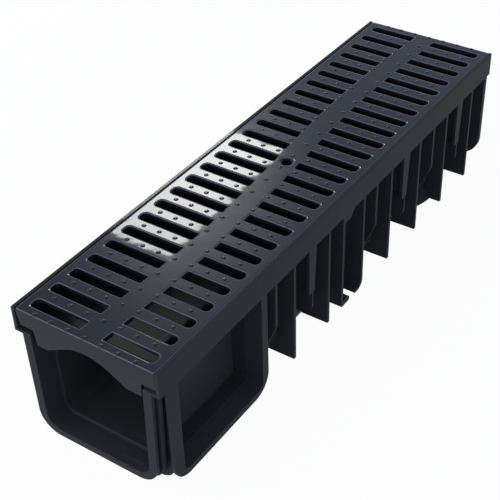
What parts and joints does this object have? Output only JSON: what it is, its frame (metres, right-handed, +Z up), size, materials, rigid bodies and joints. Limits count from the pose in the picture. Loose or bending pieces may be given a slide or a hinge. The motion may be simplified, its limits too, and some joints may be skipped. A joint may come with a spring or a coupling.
{
  "type": "drainage channel with grate",
  "caption": "Straight drainage channel of ribbed plastic with a slotted grate, a socket and a spigot at its ends and a side branch closed by a panel.",
  "frame": {"origin": "on the ground under the middle of the overall length, spigot included, midway between the two sides of the rim", "axes": "+Z up, +Y along the channel from the socket end to the spigot end, +X to the side with the branch"},
  "size_m": [0.127, 0.5124, 0.1142],
  "materials": {
    "channel_plastic": "semi-gloss moulded",
    "grate_plastic": "semi-gloss moulded"
  },
  "bodies": {
    "root": {"channel_body": "channel_plastic", "grate": "grate_plastic"}
  },
  "joints": []
}
